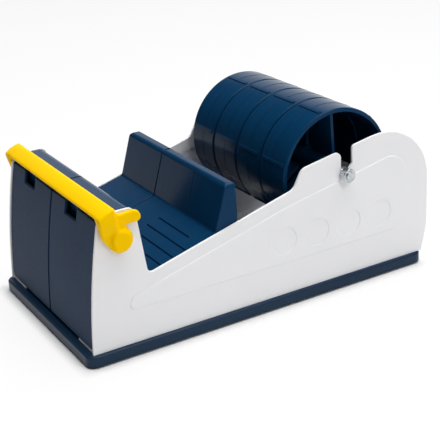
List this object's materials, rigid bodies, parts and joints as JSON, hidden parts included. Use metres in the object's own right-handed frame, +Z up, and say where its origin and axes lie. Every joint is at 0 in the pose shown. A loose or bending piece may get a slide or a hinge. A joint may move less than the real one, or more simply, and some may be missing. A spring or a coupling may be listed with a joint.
{
  "type": "multi-roll tape dispenser",
  "caption": "Weighted bench dispenser for tape rolls: white side panels, navy turning hubs on a lift-out axle, sloping tray with a guide wall, toothed blades under a yellow guard.",
  "frame": {"origin": "centre of the rest face, under the middle of the plinth", "axes": "+Z up, +Y from the blade end to the roll end, +X across to the side with the thumb lever"},
  "size_m": [0.1344, 0.234, 0.1102],
  "materials": {
    "white_sheet": "white powder coat, semi-matt",
    "navy_plastic": "deep navy, satin gloss",
    "slate_plastic": "slate blue, fine matt grain",
    "plinth_plastic": "dark navy, satin",
    "yellow_plastic": "safety yellow, glossy",
    "zinc_steel": "zinc plated",
    "blade_steel": "ground",
    "plain_steel": "mill finish",
    "black_plastic": "matt",
    "mat_rubber": "matt"
  },
  "bodies": {
    "chassis": {"base_plinth": "plinth_plastic", "base_mat": "mat_rubber", "ballast_plate": "plain_steel", "side_panel_left": "white_sheet", "side_panel_right": "white_sheet", "rear_panel": "white_sheet", "flange_screws": "zinc_steel", "front_cover_left": "slate_plastic", "front_cover_right": "slate_plastic", "blade_holder_left": "navy_plastic", "blade_holder_right": "navy_plastic", "blade_left": "blade_steel", "blade_right": "blade_steel", "tray_narrow": "navy_plastic", "tray_wide": "navy_plastic"},
    "guard": {"blade_guard": "yellow_plastic", "guard_clips": "zinc_steel"},
    "axle": {"axle_rod": "zinc_steel", "axle_nuts": "zinc_steel", "hub_spacers": "black_plastic"},
    "hub_1": {"hub_1": "navy_plastic"},
    "hub_2": {"hub_2": "navy_plastic"},
    "hub_3": {"hub_3": "navy_plastic"},
    "hub_4": {"hub_4": "navy_plastic"}
  },
  "joints": [
    {"name": "guard_swing", "type": "hinge", "parent": "chassis", "child": "guard", "pos_m": [0, -0.0903, 0.071], "axis": [-1, 0, 0], "range_deg": [0, 50]},
    {"name": "axle_lift", "type": "slide", "parent": "chassis", "child": "axle", "axis": [0, 0, 1], "range_m": [0, 0.062]},
    {"name": "hub_1_spin", "type": "hinge", "parent": "axle", "child": "hub_1", "pos_m": [-0.0399, 0.0564, 0.0725], "axis": [1, 0, 0], "continuous": true},
    {"name": "hub_2_spin", "type": "hinge", "parent": "axle", "child": "hub_2", "pos_m": [-0.0133, 0.0564, 0.0725], "axis": [1, 0, 0], "continuous": true},
    {"name": "hub_3_spin", "type": "hinge", "parent": "axle", "child": "hub_3", "pos_m": [0.0133, 0.0564, 0.0725], "axis": [1, 0, 0], "continuous": true},
    {"name": "hub_4_spin", "type": "hinge", "parent": "axle", "child": "hub_4", "pos_m": [0.0399, 0.0564, 0.0725], "axis": [1, 0, 0], "continuous": true}
  ]
}
